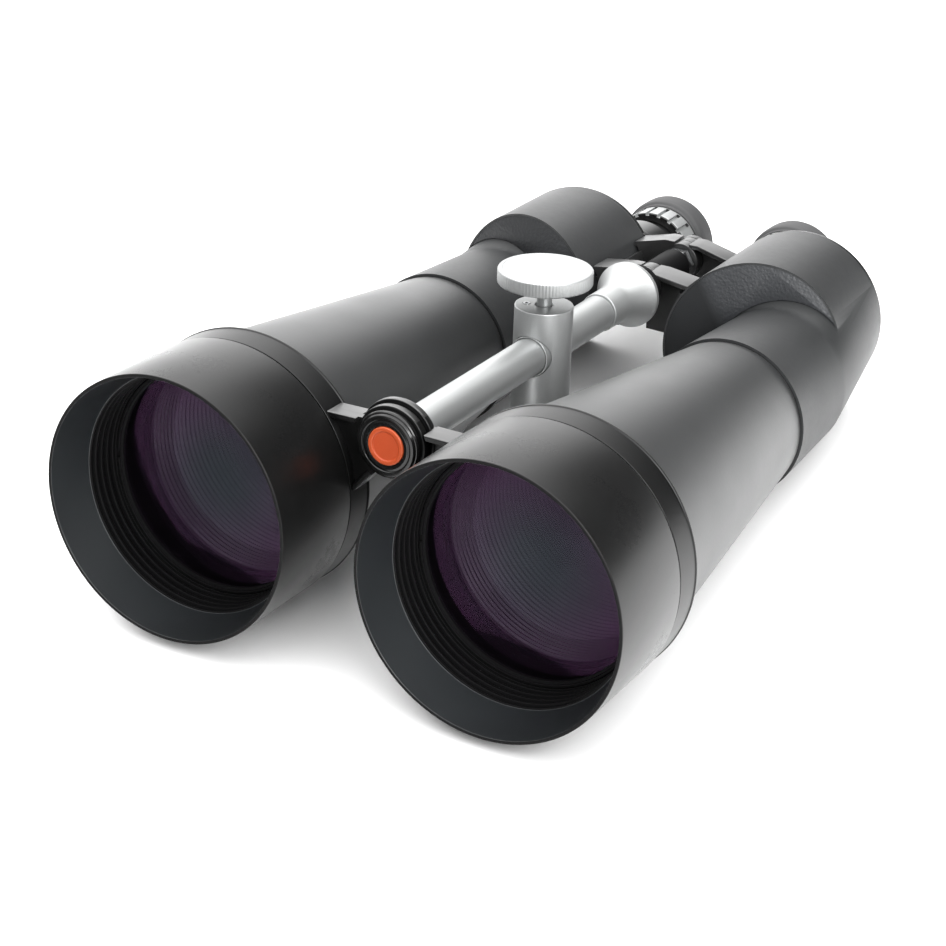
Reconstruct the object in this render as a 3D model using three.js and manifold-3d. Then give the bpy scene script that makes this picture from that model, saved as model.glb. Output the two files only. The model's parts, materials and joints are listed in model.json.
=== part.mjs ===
// Giant Porro-prism binoculars for astronomy, as they lie on a table.
// Millimetres. Each half is drawn in the optical frame: Y runs along the optical axes from the
// hood rims (Y = 0) to the eyecups, Z = 0 is the height of the objective axes, and X = 0 is the
// plane of the centre hinge. One outer group then tips the instrument until it rests on its
// front bands and its rear covers, with the origin under the middle of it.
import * as THREE from "three";
import { ConvexGeometry } from "three/addons/geometries/ConvexGeometry.js";
import { mergeVertices } from "three/addons/utils/BufferGeometryUtils.js";
import Module from "manifold-3d";

const wasm = await Module();
wasm.setup();

// ---- Driving dimensions ----
const GAP = 0.3; // between pieces that touch
const LARGE = 32; // facets round the objective end, the barrels and the prism drums
const SMALL = 16; // facets round the eyepieces, the rod, the post and the hinge

const objective = { x: 76.8, z: 0 }; // optical axis of each objective
const eyepiece = { x: 36, z: 16 }; // optical axis of each eyepiece, at the widest setting
const drum = { x: 62, z: 12, radius: 42, wall: 2.8, start: 260, rear: 345.8 }; // round prism housing
const hinge = { z: 29.9 }; // the hinge axis, also the axis of the centre rod

const hood = { radius: 60, rim: 58.4, coneRadius: 54.3, coneDepth: 20.6, bore: 52.8, length: 51.5 };
const cell = { radius: 53.6, bore: 52.3, front: 37, rear: 60, shoulder: 50 };
const glass = { radius: 52, clear: 49.7, front: 41.5, crownSag: 5.4, insideSag: 7, edge: 3 };
const band = { radius: 59.5, from: 51.9, to: 66.9 };
const barrel = { frontRadius: 55.9, seamRadius: 37, seam: 225.5, wall: 2, spigot: 8 };
const tail = { seamRadius: 38.3, endRadius: 34.6, end: 300, blendFrom: 283 };
const plate = { thickness: 2.5, wall: 2.6 };
const plateFaces = [
  { x: 65, y: 284, z: 15, slopeX: 0.25, slopeZ: 0.15 }, // the main face
  { x: 48, y: 280.8, z: 22.3, slopeX: 0.17, slopeZ: 0.102 }, // folded back, towards the hinge
];
const flat = { x: 22, slope: -0.852 }; // flat on the drum's inner underside, through Z = 0 at this X
const prism = { length: 54, width: 24, depth: 27, apexCut: 3, shelf: 315.6, shelfThickness: 3 };

const rearCover = { radius: 41.6, thickness: 3.9, bossRadius: 20, bossEnd: 366 };
const guide = { radius: 16.7, bore: 15, from: 347, to: 381 };
const ocular = { radius: 14.7, bore: 11.2, seat: 12.6, from: 356, to: 391, flange: 16.2, recess: 7 };
const focusRing = { radius: 21.5, from: 375, skirt: 386, to: 388, slots: 20, slotDepth: 1.6 };
const eyecup = { radius: 24, mouth: 20, from: 388.3, to: 403 };

const hub = { capRadius: 13.4, leftRadius: 16.5, rightRadius: 17.8, bore: 6, from: 55, to: 64.5 };
const rod = { radius: 8.65, journal: 5.7, from: 66, to: 243 };
const socket = { collar: 9.4, flare: 16.2, from: 243.5, collarEnd: 258, flareAt: 273.5, to: 276 };
const pin = { radius: 5, from: 262, to: 349 };
const spine = { radius: 8.6, from: 302.4, to: 326.5, nutRadius: 8, nutTo: 333 };
const frontArm = { from: 53.5, to: 65.5 };
const bridgeArms = [
  { from: 287, middle: 294.55, to: 302.1, top: 8.1, knuckle: 8.6, foot: [1.4, -23.2], leftRise: 3.7 },
  { from: 333.5, middle: 339.65, to: 345.7, top: 9.9, knuckle: 9.5, foot: [12, -24], leftRise: 0 },
];

const post = { y: 186.9, radius: 13.5, top: 21.3, bottom: -54.9, rodBore: 9.9, studBore: 3.8 };
const liner = { radius: 9.6, bore: 8.95, half: 13, slit: 1.5 }; // split sleeve between rod and post
const pad = { radius: 3.4, top: 13.3 }; // brass pad under the clamp stud
const setScrew = { x: -7.4, y: -3, radius: 1.6, depth: 2.2, facets: 12 };
const knob = { radius: 21.8, top: 38.6, thickness: 7, flutes: 60, fluteDepth: 0.3, stud: 3.5 };
const thread = { radius: 6, bore: 2.6, depth: 12 }; // tripod thread insert in the foot of the post

// ---- Materials ----
const finish = (color, roughness, metalness) =>
  new THREE.MeshStandardMaterial({ color, roughness, metalness });
const satinBlack = finish(0x202224, 0.45, 0.1);
const grainBlack = finish(0x2c2f31, 0.75, 0);
const castBlack = finish(0x17181a, 0.6, 0.1);
const stippleGrey = finish(0x3c3f43, 0.8, 0);
const rubberBlack = finish(0x2a2b2c, 0.85, 0);
const satinSilver = finish(0xc4c7c8, 0.35, 1);
const steel = finish(0xa9adb0, 0.3, 1);
const brass = finish(0xb08d4a, 0.4, 1);
const orange = finish(0xe0571c, 0.5, 0);
const coatedGlass = finish(0x2b1f33, 0.05, 0);
const prismGlass = finish(0xbfd3d6, 0.05, 0);

// ---- Geometry helpers ----

// A mesh for one sub-part.
function piece(name, geometry, material) {
  const mesh = new THREE.Mesh(geometry, material);
  mesh.name = name;
  return mesh;
}

// A solid of revolution about Y from a closed profile of [radius, y] points.
function turned(profile, facets) {
  const points = profile.map(([radius, y]) => new THREE.Vector2(radius, y));
  if (THREE.ShapeUtils.area(points) < 0) points.reverse();
  if (points[0].x > 0 || points[points.length - 1].x > 0) points.push(points[0].clone());
  return new THREE.LatheGeometry(points, facets);
}

// A cylinder along Y.
function cylinder(radius, from, to, facets) {
  return turned([[0, from], [radius, from], [radius, to], [0, to]], facets);
}

// A tube along Y.
function sleeve(radius, bore, from, to, facets) {
  return turned([[bore, from], [radius, from], [radius, to], [bore, to]], facets);
}

// The same geometry moved onto an axis at x, z.
function at(geometry, { x = 0, z = 0 }) {
  return geometry.translate(x, 0, z);
}

// An outline in the XZ plane, of [x, z] points, made solid between two Y values.
function slab(outline, from, to) {
  const shape = new THREE.Shape(outline.map(([x, z]) => new THREE.Vector2(x, z)));
  const geometry = new THREE.ExtrudeGeometry(shape, { depth: to - from, bevelEnabled: false });
  return geometry.rotateX(Math.PI / 2).translate(0, to, 0);
}

// Points on an arc in the XZ plane, in degrees from +X towards +Z.
function arc(centre, radius, fromDegrees, toDegrees, steps) {
  return Array.from({ length: steps + 1 }, (_, i) => {
    const angle = THREE.MathUtils.degToRad(fromDegrees + ((toDegrees - fromDegrees) * i) / steps);
    return [centre.x + radius * Math.cos(angle), centre.z + radius * Math.sin(angle)];
  });
}

// A closed geometry as a manifold-3d solid.
function solid(geometry) {
  const bare = geometry.clone();
  bare.deleteAttribute("normal");
  bare.deleteAttribute("uv");
  const merged = mergeVertices(bare, 1e-4);
  const vertProperties = new Float32Array(merged.attributes.position.array);
  const triVerts = new Uint32Array(merged.index.array);
  return new wasm.Manifold(new wasm.Mesh({ numProp: 3, vertProperties, triVerts }));
}

// A manifold-3d solid as a three.js geometry.
function geometryOf(body) {
  const { vertProperties, triVerts } = body.getMesh();
  return new THREE.BufferGeometry()
    .setAttribute("position", new THREE.BufferAttribute(vertProperties, 3))
    .setIndex(new THREE.BufferAttribute(triVerts, 1));
}

// The first geometry with others joined to it.
const join = (first, ...others) => others.reduce((body, next) => body.add(solid(next)), solid(first));

// A solid with the given geometries cut away.
const cut = (body, ...tools) => tools.reduce((rest, tool) => rest.subtract(solid(tool)), body);

// Everything in front of the plane that lies a distance behind one face of a prism drum's front.
function aheadOfFace(face, distance) {
  const faceY = (x, z) => face.y + face.slopeX * (x - face.x) + face.slopeZ * (z - face.z);
  const half = 150;
  const corners = [];
  for (const x of [-half, half])
    for (const z of [-half, half]) {
      corners.push(new THREE.Vector3(x, faceY(x, z) + distance, z));
      corners.push(new THREE.Vector3(x, -half, z));
    }
  return new ConvexGeometry(corners);
}

// The same for the whole folded front, as one solid.
function aheadOfPlate(distance) {
  const [main, folded] = plateFaces.map((face) => aheadOfFace(face, distance));
  return geometryOf(join(main, folded));
}

// Everything beyond the flat on the drum's inner underside, or beyond one drawn in by an inset.
function beyondFlat(inset, from = drum.start) {
  const shift = inset * Math.hypot(1, 1 / flat.slope);
  const height = (x) => flat.slope * (x - flat.x - shift);
  const [left, right] = [-20, 120];
  return slab([[left, height(left)], [left, height(right)], [right, height(right)]], from, drum.rear + 10);
}

// A smooth blend from the end of the barrel to the rear of the drum, drawn in by an inset.
function barrelToDrum(inset, rear) {
  const rings = [
    { centre: objective, radius: tail.endRadius + 0.9 - inset, y: tail.blendFrom },
    { centre: drum, radius: drum.radius - inset, y: rear },
  ];
  const points = rings.flatMap(({ centre, radius, y }) =>
    arc(centre, radius, 0, 360, LARGE)
      .slice(1)
      .map(([x, z]) => new THREE.Vector3(x, y, z)),
  );
  return new ConvexGeometry(points);
}

// ---- Objective end ----

function makeHood() {
  const { radius, rim, coneRadius, coneDepth, bore, length } = hood;
  const cellRoom = cell.radius + GAP;
  return at(
    turned(
      [
        [rim, 0],
        [radius - 0.4, 0],
        [radius, 0.6],
        [radius, length],
        [cellRoom, length],
        [cellRoom, cell.front - GAP],
        [bore, cell.front - GAP],
        [bore, coneDepth + GAP],
        [coneRadius, coneDepth],
      ],
      LARGE,
    ),
    objective,
  );
}

// The height of a spherical lens face above its edge, for a face of a given sag.
const faceHeight = (sag, r) => sag * (1 - (r / glass.radius) ** 2);

function makeCrownLens() {
  const { radius, front, crownSag, insideSag, edge } = glass;
  const radii = [radius, radius * 0.75, radius * 0.4, 0];
  const frontFace = radii.map((r) => [r, front - faceHeight(crownSag, r)]);
  const rearFace = radii.map((r) => [r, front + edge + faceHeight(insideSag, r)]).reverse();
  return at(turned([...frontFace.reverse(), ...rearFace.reverse()], LARGE), objective);
}

function makeFlintLens() {
  const { radius, front, insideSag, edge } = glass;
  const radii = [0, radius * 0.4, radius * 0.75, radius];
  const face = front + edge + GAP + 0.1;
  const frontFace = radii.map((r) => [r, face + faceHeight(insideSag, r)]);
  const rear = cell.rear - 3;
  return at(turned([...frontFace, [radius, rear], [0, rear]], LARGE), objective);
}

function makeLensCell() {
  const { radius, bore, front, rear, shoulder } = cell;
  const seat = rear - 3 + GAP;
  return at(
    turned(
      [[bore, front], [radius, front], [radius, rear], [shoulder, rear], [shoulder, seat], [bore, seat]],
      LARGE,
    ),
    objective,
  );
}

function makeRetainingRing() {
  const { radius, clear, front } = glass;
  return at(sleeve(radius, clear, cell.front + 0.4, front - 1, LARGE), objective);
}

// ---- Front bridge: the band round the barrel, its arm and its hinge knuckle ----

function makeFrontBridge(side) {
  const { x, z } = objective;
  const middle = (hub.from + hub.to) / 2;
  const own = side === "left" ? [hub.from, middle] : [middle + GAP, hub.to];
  const ownRadius = side === "left" ? hub.leftRadius : hub.rightRadius;
  const seat = band.radius - 1.7;
  const ring = arc({ x, z }, seat, 139.5, 176, 6);
  const outline = [[8, hinge.z + 8], ...ring, [17, hinge.z - 25.5], [6, hinge.z - 13.5]];
  const [shoulderX, shoulderZ] = ring[0];
  const topFlange = [
    [8, hinge.z + 8],
    [shoulderX, shoulderZ],
    [shoulderX, shoulderZ - 2.6],
    [8, hinge.z + 5.4],
  ];
  const footFlange = [
    [6, hinge.z - 13.5],
    [8.4, hinge.z - 12.6],
    [19.4, hinge.z - 24.4],
    [17, hinge.z - 25.5],
  ];
  const web = slab(outline, own[0] + 0.5, own[1] - 0.5);
  const flanges = [topFlange, footFlange].map((edge) => slab(edge, frontArm.from, frontArm.to));
  const hubRoom = at(cylinder(hub.rightRadius + 0.4, 40, 80, SMALL), hinge);
  const clampBore = barrel.frontRadius + GAP;
  const clamp = at(sleeve(band.radius, clampBore, band.from, band.to, LARGE), objective);
  const knuckle = at(cylinder(ownRadius, ...own, SMALL), hinge);
  const casting = cut(join(...flanges), hubRoom).add(join(web, clamp, knuckle));
  const barrelRoom = at(cylinder(barrel.frontRadius + GAP, 40, 80, LARGE), objective);
  const rodBore = at(cylinder(hub.bore, 40, 80, SMALL), hinge);
  return geometryOf(cut(casting, barrelRoom, rodBore));
}

// ---- Barrel and prism housing ----

function makeObjectiveTube() {
  const { frontRadius, seamRadius, seam, wall, spigot } = barrel;
  const rearRadius = tail.seamRadius - drum.wall - GAP;
  return at(
    turned(
      [
        [frontRadius - wall, band.from + GAP],
        [frontRadius, band.from + GAP],
        [frontRadius, band.to],
        [seamRadius, seam],
        [rearRadius, seam],
        [rearRadius, seam + spigot],
        [rearRadius - wall, seam + spigot],
        [rearRadius - wall, seam - 6],
        [frontRadius - wall, band.to],
      ],
      LARGE,
    ),
    objective,
  );
}

function makePrismHousing() {
  const { wall, rear, radius } = drum;
  const start = barrel.seam + 0.4;
  const tailOuter = [
    [0, start],
    [tail.seamRadius, start],
    [tail.endRadius, tail.end],
    [0, tail.end],
  ];
  const tailInner = [
    [0, start - 1],
    [tail.seamRadius - wall, start - 1],
    [tail.seamRadius - wall, start + 10],
    [tail.endRadius - wall, tail.end + 1],
    [0, tail.end + 1],
  ];
  const solidDrum = solid(at(cylinder(radius, drum.start, rear, LARGE), drum));
  const hollow = solid(at(cylinder(radius - wall, drum.start, rear + 1, LARGE), drum));
  const platedDrum = cut(solidDrum, aheadOfPlate(plate.thickness + GAP), beyondFlat(0));
  const room = cut(hollow, aheadOfPlate(plate.thickness + GAP + plate.wall), beyondFlat(wall));
  const outerTail = solid(at(turned(tailOuter, LARGE), objective));
  const innerTail = at(turned(tailInner, LARGE), objective);
  const outerBlend = cut(solid(barrelToDrum(0, rear)), beyondFlat(0, tail.blendFrom));
  const innerBlend = cut(solid(barrelToDrum(wall, rear + 0.5)), beyondFlat(wall, tail.blendFrom));
  const shell = platedDrum.add(outerBlend).add(outerTail);
  return geometryOf(cut(shell, innerTail).subtract(innerBlend).subtract(room));
}

function makeFrontPlate() {
  const disc = cut(solid(at(cylinder(drum.radius, drum.start, 320, LARGE), drum)), aheadOfPlate(0));
  const rest = solid(aheadOfPlate(plate.thickness));
  const barrelRoom = [
    [0, barrel.seam - 10],
    [tail.seamRadius + GAP, barrel.seam],
    [tail.endRadius + GAP, tail.end],
    [0, tail.end + 30],
  ];
  const crescent = cut(
    disc.intersect(rest),
    at(turned(barrelRoom, LARGE), objective),
    barrelToDrum(-GAP, drum.rear),
    beyondFlat(0),
  );
  return geometryOf(crescent);
}

function makeRearCover() {
  const from = drum.rear + GAP;
  const to = from + rearCover.thickness;
  const lid = at(cylinder(rearCover.radius, from, to, LARGE), drum);
  const boss = at(cylinder(rearCover.bossRadius, from, rearCover.bossEnd, SMALL), eyepiece);
  const hole = at(cylinder(guide.radius + GAP, from - 5, rearCover.bossEnd + 5, SMALL), eyepiece);
  return geometryOf(cut(join(lid, boss), hole, beyondFlat(drum.radius - rearCover.radius)));
}

// ---- Prisms ----

// The beam leaves the objective axis, crosses to a middle axis, and leaves on the eyepiece axis.
const span = new THREE.Vector2(eyepiece.x - objective.x, eyepiece.z - objective.z);
const quarter = new THREE.Vector2(span.y, -span.x).multiplyScalar(0.5);
const middleAxis = {
  x: objective.x + span.x / 2 + quarter.x,
  z: objective.z + span.y / 2 + quarter.y,
};
const shelfRear = prism.shelf + prism.shelfThickness;

// The section of a prism, or of a strap a little outside it, across its length.
function prismSection(offset) {
  const half = prism.length / 2 + offset * 2.4;
  const flat = prism.apexCut + offset * 0.4;
  const depth = prism.depth - prism.apexCut + offset;
  return [[-half, 0], [half, 0], [flat, depth], [-flat, depth]];
}

// A slab of prism section set on the shelf between two optical axes, with its apex to the rear
// (direction 1) or to the front (direction -1).
function onShelf(section, width, axisA, axisB, face, direction) {
  const shape = new THREE.Shape(section.map(([u, v]) => new THREE.Vector2(u, v)));
  const geometry = new THREE.ExtrudeGeometry(shape, { depth: width, bevelEnabled: false });
  geometry.translate(0, 0, -width / 2);
  if (direction < 0) geometry.rotateX(Math.PI);
  const turn = Math.atan2(axisB.z - axisA.z, axisB.x - axisA.x);
  geometry.rotateY(-turn);
  return geometry.translate((axisA.x + axisB.x) / 2, face, (axisA.z + axisB.z) / 2);
}

const rearPrismPlace = [objective, middleAxis, shelfRear + GAP, 1];
const frontPrismPlace = [middleAxis, eyepiece, prism.shelf - GAP, -1];

// A prism, with its ends ground round to clear the wall of the drum.
function makePrism(place) {
  const room = at(cylinder(drum.radius - drum.wall - 0.6, 250, 360, LARGE), drum);
  return geometryOf(solid(onShelf(prismSection(0), prism.width, ...place)).intersect(solid(room)));
}

// A spring strap over the apex of a prism, open towards the shelf.
function makePrismStrap([axisA, axisB, face, direction]) {
  const strapWidth = 8;
  const outer = onShelf(prismSection(1.4), strapWidth, axisA, axisB, face, direction);
  const inner = onShelf(prismSection(0.5), strapWidth + 4, axisA, axisB, face, direction);
  const reach = prism.length / 2 - 8;
  const [from, to] = direction > 0 ? [face - 1, face + 3] : [face - 3, face + 1];
  const middle = { x: (axisA.x + axisB.x) / 2, z: (axisA.z + axisB.z) / 2 };
  const floor = slab(arc(middle, reach + 60, 0, 360, 12).slice(1), from, to);
  return geometryOf(cut(solid(outer), inner, floor));
}

function makePrismShelf() {
  const hole = prism.width / 2 - 1.5;
  const [from, to] = [prism.shelf, shelfRear];
  const disc = solid(at(cylinder(drum.radius - drum.wall - GAP, from, to, LARGE), drum));
  const holes = [objective, middleAxis, eyepiece].map((axis) =>
    at(cylinder(hole, from - 5, to + 5, SMALL), axis),
  );
  return geometryOf(cut(disc, ...holes, beyondFlat(drum.wall + GAP)));
}

// ---- Eyepiece ----

const makeGuide = () => at(sleeve(guide.radius, guide.bore, guide.from, guide.to, SMALL), eyepiece);

function makeOcularBarrel() {
  const { radius, bore, seat, from, to, flange } = ocular;
  return at(
    turned(
      [
        [seat, from],
        [radius, from],
        [radius, focusRing.to + 0.4],
        [flange, focusRing.to + 0.4],
        [flange, to],
        [seat, to],
        [seat, to - ocular.recess],
        [bore, to - ocular.recess],
        [bore, from + ocular.recess + 1],
        [seat, from + ocular.recess + 1],
      ],
      SMALL,
    ),
    eyepiece,
  );
}

function makeEyeLens() {
  const radius = ocular.seat - GAP;
  const seat = ocular.to - ocular.recess + GAP;
  const profile = [
    [0, seat],
    [radius, seat],
    [radius, seat + 3],
    [radius * 0.6, seat + 4.6],
    [0, seat + 5.4],
  ];
  return at(turned(profile, SMALL), eyepiece);
}

function makeFieldLens() {
  const radius = ocular.seat - GAP;
  const from = ocular.from + 2;
  const profile = [
    [0, from],
    [radius * 0.6, from + 0.8],
    [radius, from + 2.4],
    [radius, from + 5],
    [0, from + 5],
  ];
  return at(turned(profile, SMALL), eyepiece);
}

function makeFocusRing() {
  const { radius, from, skirt, to, slots, slotDepth } = focusRing;
  const pitch = 360 / slots;
  const slotWidth = pitch / 4;
  const grip = [];
  for (let i = 0; i < slots; i++) {
    const start = i * pitch;
    grip.push(...arc(eyepiece, radius - slotDepth, start, start + slotWidth, 1));
    grip.push(...arc(eyepiece, radius, start + slotWidth + 1, start + pitch - 1, 1));
  }
  const skirtBore = at(cylinder(guide.radius + 0.4, from - 1, skirt, SMALL), eyepiece);
  const topBore = at(cylinder(ocular.radius + 0.4, from - 1, to + 1, SMALL), eyepiece);
  return geometryOf(cut(solid(slab(grip, from, to)), skirtBore, topBore));
}

function makeEyecup() {
  const { radius, mouth, from, to } = eyecup;
  return at(
    turned(
      [
        [ocular.flange + 0.4, from],
        [radius - 2, from],
        [radius, from + 3],
        [radius, to - 1.5],
        [radius - 1.5, to],
        [mouth + 0.5, to],
        [mouth - 1, to - 3],
        [ocular.flange + 0.4, to - 10],
      ],
      SMALL,
    ),
    eyepiece,
  );
}

// ---- Rear bridge: two arms from the prism drum to the hinge, joined by a saddle ----

function makeRearBridge(side) {
  const seatRadius = drum.radius + GAP;
  const saddleRadius = drum.radius + 3;
  const [first, last] = bridgeArms;
  const saddle = [...arc(drum, seatRadius, 154, 188, 6), ...arc(drum, saddleRadius, 188, 154, 6)];
  let casting = solid(slab(saddle, first.from, last.to));
  for (const { from, middle, to, top, knuckle, foot, leftRise } of bridgeArms) {
    const ahead = [from - GAP, middle - GAP / 2];
    const behind = [middle + GAP / 2, to + GAP];
    const own = side === "left" ? [from, ahead[1]] : [behind[0], to];
    const other = side === "left" ? behind : ahead;
    const seat = arc(drum, drum.radius + 1.2, 147, 188, 6);
    const [shoulderX, shoulderZ] = seat[0];
    const crestZ = hinge.z + top;
    const crest = [[4, crestZ], [9, crestZ]];
    const footZ = hinge.z + foot[1] + (side === "left" ? leftRise : 0);
    const lower = [[foot[0], footZ], [Math.min(4, foot[0]), hinge.z - 6]];
    const web = slab([...crest, ...seat, ...lower], ...own);
    const eaveDepth = 2.4;
    const eave = [
      ...crest,
      [shoulderX, shoulderZ],
      [shoulderX, shoulderZ - eaveDepth],
      [9, crestZ - eaveDepth],
      [4, crestZ - eaveDepth],
    ];
    const otherRoom = at(cylinder(knuckle + 0.4, ...other, SMALL), hinge);
    const arm = cut(join(web, slab(eave, from, to)), otherRoom);
    casting = casting.add(arm).add(solid(at(cylinder(knuckle, ...own, SMALL), hinge)));
  }
  const drumRoom = at(cylinder(seatRadius, first.from - 5, last.to + 5, LARGE), drum);
  const pinBore = at(cylinder(pin.radius + GAP, first.from - 5, last.to + 5, SMALL), hinge);
  return geometryOf(cut(casting, drumRoom, pinBore));
}

// ---- One half of the instrument, drawn on the +X side ----

function makeHalf(side) {
  const half = new THREE.Group();
  const add = (part, geometry, material) => half.add(piece(`${side}_${part}`, geometry, material));
  add("objective_hood", makeHood(), satinBlack);
  add("lens_retaining_ring", makeRetainingRing(), castBlack);
  add("crown_lens", makeCrownLens(), coatedGlass);
  add("flint_lens", makeFlintLens(), coatedGlass);
  add("lens_cell", makeLensCell(), castBlack);
  add("front_bridge", makeFrontBridge(side), satinBlack);
  add("objective_tube", makeObjectiveTube(), grainBlack);
  add("prism_housing", makePrismHousing(), grainBlack);
  add("front_cover_plate", makeFrontPlate(), stippleGrey);
  add("rear_cover", makeRearCover(), castBlack);
  add("rear_bridge", makeRearBridge(side), castBlack);
  add("prism_shelf", makePrismShelf(), castBlack);
  add("front_prism", makePrism(frontPrismPlace), prismGlass);
  add("rear_prism", makePrism(rearPrismPlace), prismGlass);
  add("front_prism_strap", makePrismStrap(frontPrismPlace), steel);
  add("rear_prism_strap", makePrismStrap(rearPrismPlace), steel);
  add("eyepiece_guide", makeGuide(), castBlack);
  add("eyepiece_barrel", makeOcularBarrel(), castBlack);
  add("eye_lens", makeEyeLens(), prismGlass);
  add("field_lens", makeFieldLens(), prismGlass);
  add("focus_ring", makeFocusRing(), satinSilver);
  add("eyecup", makeEyecup(), rubberBlack);
  return half;
}

// ---- Centre hinge and rod ----

function makeCentre() {
  const centre = new THREE.Group();
  centre.position.z = hinge.z;
  const add = (name, geometry, material) => centre.add(piece(name, geometry, material));
  const insertRadius = 8.5;
  const capFront = 50.8;
  const capRear = hub.from - 0.4;

  const capProfile = [
    [0, capFront + 1.6],
    [insertRadius + GAP, capFront + 1.6],
    [insertRadius + GAP, capFront],
    [hub.capRadius, capFront],
    [15, capFront + 1.6],
    [15, capRear],
    [0, capRear],
  ];
  add("front_hinge_cap", turned(capProfile, SMALL), castBlack);
  const insertProfile = [
    [0, capFront - 0.4],
    [insertRadius - 0.5, capFront - 0.4],
    [insertRadius, capFront],
    [insertRadius, capFront + 1.3],
    [0, capFront + 1.3],
  ];
  add("hinge_cap_insert", turned(insertProfile, SMALL), orange);

  const spigotEnd = 260;
  const rodProfile = [
    [0, hub.from],
    [rod.journal, hub.from],
    [rod.journal, rod.from],
    [rod.radius, rod.from],
    [rod.radius, rod.to],
    [6, rod.to],
    [6, spigotEnd],
    [0, spigotEnd],
  ];
  add("centre_rod", turned(rodProfile, SMALL), satinSilver);

  const flareSteps = [0, 0.25, 0.5, 0.75, 1];
  const flareRun = socket.flareAt - socket.collarEnd;
  const flareRise = socket.flare - socket.collar;
  const flare = flareSteps.map((t) => [
    socket.collar + flareRise * t * t,
    socket.collarEnd + flareRun * t,
  ]);
  const socketProfile = [
    [6 + GAP, socket.from],
    [socket.collar, socket.from],
    ...flare,
    [socket.flare, socket.to],
    [pin.radius + GAP, socket.to],
    [pin.radius + GAP, spigotEnd + 1],
    [6 + GAP, spigotEnd + 1],
  ];
  add("rod_flared_socket", turned(socketProfile, SMALL), satinSilver);

  const pinRoom = pin.radius + GAP;
  const collarEnd = bridgeArms[0].from - GAP;
  add("rear_hinge_collar", sleeve(12, pinRoom, socket.to + GAP, collarEnd, SMALL), castBlack);
  add("rear_hinge_spine", sleeve(spine.radius, pinRoom, spine.from, spine.to, SMALL), castBlack);
  const nutOutline = [];
  for (let corner = 0; corner < 6; corner++) {
    const angle = (corner * Math.PI) / 3;
    nutOutline.push([spine.nutRadius * Math.cos(angle), spine.nutRadius * Math.sin(angle)]);
  }
  const nut = solid(slab(nutOutline, spine.to + GAP, spine.nutTo));
  const nutBore = cylinder(pinRoom, spine.from, spine.nutTo + 5, SMALL);
  add("hinge_tension_nut", geometryOf(cut(nut, nutBore)), steel);
  add("rear_hinge_pin", cylinder(pin.radius, pin.from, pin.to, SMALL), steel);
  const endCap = [
    [pinRoom, bridgeArms[1].to + GAP],
    [9.5, bridgeArms[1].to + GAP],
    [9.5, pin.to + 1],
    [7.5, pin.to + 2.6],
    [0, pin.to + 2.6],
    [0, pin.to + GAP],
    [pinRoom, pin.to + GAP],
  ];
  add("rear_hinge_cap", turned(endCap, SMALL), castBlack);
  return centre;
}

// ---- Tripod post, which slides on the rod, and its clamp ----

// A solid of revolution about the post's own upright axis, from [radius, height] points.
const upright = (profile, facets) => turned(profile, facets).rotateX(Math.PI / 2).rotateZ(Math.PI);

// A round bar along the post's axis between two heights.
function bar(radius, from, to, facets) {
  return upright([[0, from], [radius, from], [radius, to], [0, to]], facets);
}

function makePostAssembly() {
  const assembly = new THREE.Group();
  assembly.position.set(0, post.y, hinge.z);
  const add = (name, geometry, material) => assembly.add(piece(name, geometry, material));
  const { radius, top, bottom, rodBore, studBore } = post;

  const column = [
    [0, bottom],
    [radius - 0.6, bottom],
    [radius, bottom + 0.6],
    [radius, top - 0.5],
    [radius - 0.5, top],
    [0, top],
  ];
  const insertEnd = bottom + thread.depth;
  const screwFoot = top - setScrew.depth;
  const studHole = bar(studBore, 0, top + 5, SMALL);
  const insertHole = bar(thread.radius + GAP, bottom - 5, insertEnd + GAP, SMALL);
  const screwHole = bar(setScrew.radius + GAP, screwFoot, top + 5, setScrew.facets);
  screwHole.translate(setScrew.x, setScrew.y, 0);
  const rodHole = cylinder(rodBore, -40, 40, SMALL);
  const bored = cut(solid(upright(column, SMALL)), rodHole, studHole, insertHole, screwHole);
  add("tripod_post", geometryOf(bored), satinSilver);

  const insert = [
    [thread.bore, bottom + 0.2],
    [thread.radius, bottom + 0.2],
    [thread.radius, insertEnd],
    [thread.bore, insertEnd],
  ];
  add("tripod_thread_insert", upright(insert, SMALL), steel);

  const screw = bar(setScrew.radius, screwFoot + GAP, top + 0.2, setScrew.facets);
  add("post_set_screw", screw.translate(setScrew.x, setScrew.y, 0), steel);

  const slit = new THREE.BoxGeometry(liner.slit, 3 * liner.half, liner.radius);
  slit.translate(0, 0, -liner.radius);
  const wholeLiner = sleeve(liner.radius, liner.bore, -liner.half, liner.half, SMALL);
  add("rod_liner", geometryOf(cut(solid(wholeLiner), slit)), satinSilver);

  const knobFoot = knob.top - knob.thickness;
  add("clamp_pad", bar(pad.radius, liner.radius + GAP, pad.top, SMALL), brass);
  add("clamp_stud", bar(knob.stud, pad.top + GAP, knobFoot - GAP, SMALL), satinSilver);

  const rim = [];
  for (let i = 0; i < knob.flutes; i++) {
    const angle = (2 * Math.PI * i) / knob.flutes;
    const reach = knob.radius - (i % 2) * knob.fluteDepth;
    rim.push(new THREE.Vector2(reach * Math.cos(angle), reach * Math.sin(angle)));
  }
  const edge = { depth: knob.thickness, bevelEnabled: false };
  const knobDisc = new THREE.ExtrudeGeometry(new THREE.Shape(rim), edge);
  add("clamp_knob", knobDisc.translate(0, 0, knobFoot), satinSilver);
  return assembly;
}

// ---- The whole instrument, resting on its front bands and its rear covers ----

const instrument = new THREE.Group();
const leftHalf = makeHalf("left");
leftHalf.scale.x = -1;
instrument.add(leftHalf, makeHalf("right"), makeCentre(), makePostAssembly());

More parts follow.
